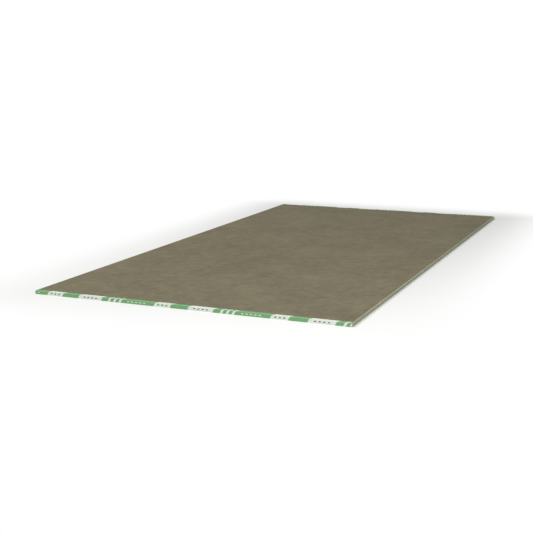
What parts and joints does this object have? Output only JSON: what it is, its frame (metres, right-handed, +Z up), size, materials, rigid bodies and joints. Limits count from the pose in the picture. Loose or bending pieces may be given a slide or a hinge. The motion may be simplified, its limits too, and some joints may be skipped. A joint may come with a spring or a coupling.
{
  "type": "drywall sheet",
  "caption": "Flat paper-faced gypsum board sheet with tapered long edges, lying face down, its square-cut ends covered by printed paper end tape.",
  "frame": {"origin": "centre of the sheet, on the plane of its face, which it lies on", "axes": "+X across the sheet, +Y along its length, +Z up through its thickness from the face to the back"},
  "size_m": [1.22, 2.4404, 0.0129],
  "materials": {
    "board_paper": "matt grey-brown liner paper on the back, pale grey-green face paper on the face and long edges",
    "tape_paper": "white paper tape printed green, slightly calendered"
  },
  "bodies": {
    "root": {"gypsum_board": "board_paper", "end_tape_front": "tape_paper", "end_tape_back": "tape_paper"}
  },
  "joints": []
}
